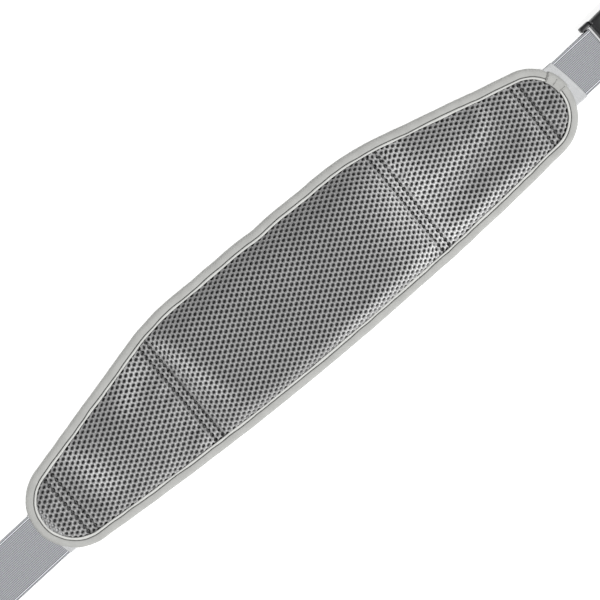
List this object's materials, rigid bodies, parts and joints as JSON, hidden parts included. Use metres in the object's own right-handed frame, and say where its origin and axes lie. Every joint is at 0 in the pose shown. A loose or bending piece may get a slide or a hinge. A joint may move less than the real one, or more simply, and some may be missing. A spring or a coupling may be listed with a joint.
{
  "type": "lumbar back brace",
  "caption": "Curved mesh lumbar pad with bound edge and stitched fold channels, an elastic strap at each end and a side-release buckle",
  "frame": {"origin": "middle of the pad's back, half way between its tips and level with them, on the surface it rests on", "axes": "+X along the pad towards the short strap and the socket, +Y across the pad towards its taller edge, +Z out of the mesh face"},
  "size_m": [0.9136, 0.1136, 0.014],
  "materials": {
    "foam": "matte",
    "mesh": "matte",
    "back_cloth": "matte",
    "binding": "matte",
    "thread": "matte",
    "satin": "satin",
    "webbing": "matte",
    "keeper_elastic": "matte",
    "buckle_plastic": "satin"
  },
  "bodies": {
    "pad_centre": {"centre_foam": "foam", "centre_mesh_face": "mesh", "centre_back_cover": "back_cloth", "centre_binding": "binding", "centre_stitching": "thread"},
    "left_wing": {"left_wing_foam": "foam", "left_wing_mesh_face": "mesh", "left_wing_back_cover": "back_cloth", "left_wing_binding": "binding", "left_wing_stitching": "thread"},
    "right_wing": {"right_wing_foam": "foam", "right_wing_mesh_face": "mesh", "right_wing_back_cover": "back_cloth", "right_wing_binding": "binding", "right_wing_stitching": "thread"},
    "left_tip": {"left_tip_foam": "foam", "left_tip_mesh_face": "mesh", "left_tip_back_cover": "back_cloth", "left_tip_binding": "binding", "left_tip_stitching": "thread", "left_anchor_tab": "satin", "left_strap_root": "webbing"},
    "right_tip": {"right_tip_foam": "foam", "right_tip_mesh_face": "mesh", "right_tip_back_cover": "back_cloth", "right_tip_binding": "binding", "right_tip_stitching": "thread", "binding_lap": "binding", "right_anchor_tab": "satin", "right_strap_root": "webbing"},
    "left_strap_near": {"left_strap_inner": "webbing"},
    "left_strap_far": {"left_strap_outer": "webbing", "left_strap_run": "webbing"},
    "adjusting_plug": {"plug_frame": "buckle_plastic", "strap_wrap": "webbing", "strap_tail": "webbing"},
    "tail_end": {"tail_hem": "webbing"},
    "keeper": {"elastic_keeper": "keeper_elastic"},
    "plug_prong_upper": {"upper_prong": "buckle_plastic"},
    "plug_prong_lower": {"lower_prong": "buckle_plastic"},
    "right_strap": {"right_strap_loop": "webbing"},
    "socket": {"buckle_socket": "buckle_plastic"}
  },
  "joints": [
    {"name": "left_wing_fold", "type": "hinge", "parent": "pad_centre", "child": "left_wing", "pos_m": [-0.106, 0, 0.0067], "axis": [0, 1, 0], "range_deg": [0, 45]},
    {"name": "right_wing_fold", "type": "hinge", "parent": "pad_centre", "child": "right_wing", "pos_m": [0.106, 0, 0.0067], "axis": [0, -1, 0], "range_deg": [0, 45]},
    {"name": "left_tip_fold", "type": "hinge", "parent": "left_wing", "child": "left_tip", "pos_m": [-0.217, 0, 0.0067], "axis": [0, 1, 0], "range_deg": [0, 30]},
    {"name": "right_tip_fold", "type": "hinge", "parent": "right_wing", "child": "right_tip", "pos_m": [0.217, 0, 0.0067], "axis": [0, -1, 0], "range_deg": [0, 30]},
    {"name": "left_strap_root_bend", "type": "hinge", "parent": "left_tip", "child": "left_strap_near", "pos_m": [-0.251, -0.0075, 0.0039], "axis": [-0.0489, 0.9988, 0], "range_deg": [-30, 30]},
    {"name": "left_strap_mid_bend", "type": "hinge", "parent": "left_strap_near", "child": "left_strap_far", "pos_m": [-0.36087, -0.01287, 0.0039], "axis": [-0.0489, 0.9988, 0], "range_deg": [-45, 45]},
    {"name": "plug_adjust", "type": "slide", "parent": "left_strap_far", "child": "adjusting_plug", "axis": [0.9988, 0.0489, 0], "range_m": [0, 0.05], "deforming": ["left_strap_run"]},
    {"name": "tail_feed", "type": "slide", "parent": "adjusting_plug", "child": "tail_end", "axis": [0.9988, 0.0489, 0], "range_m": [0, 0.05], "deforming": ["strap_tail"]},
    {"name": "keeper_slide", "type": "slide", "parent": "adjusting_plug", "child": "keeper", "axis": [0.9988, 0.0489, 0], "range_m": [-0.005, 0.009]},
    {"name": "upper_prong_squeeze", "type": "hinge", "parent": "adjusting_plug", "child": "plug_prong_upper", "pos_m": [-0.55352, -0.00828, 0.006], "axis": [0, 0, 1], "range_deg": [0, 6]},
    {"name": "lower_prong_squeeze", "type": "hinge", "parent": "adjusting_plug", "child": "plug_prong_lower", "pos_m": [-0.55215, -0.03625, 0.006], "axis": [0, 0, -1], "range_deg": [0, 6]},
    {"name": "right_strap_root_bend", "type": "hinge", "parent": "right_tip", "child": "right_strap", "pos_m": [0.257, 0.0038, 0.0039], "axis": [0.0489, -0.9988, 0], "range_deg": [-30, 30]},
    {"name": "socket_swivel", "type": "hinge", "parent": "right_strap", "child": "socket", "pos_m": [0.28397, 0.00512, 0.0032], "axis": [0.0489, -0.9988, 0], "range_deg": [-60, 60]}
  ],
  "couplings": [
    {"joint": "tail_feed", "follows": "plug_adjust", "ratio": 1},
    {"joint": "lower_prong_squeeze", "follows": "upper_prong_squeeze", "ratio": 1}
  ]
}
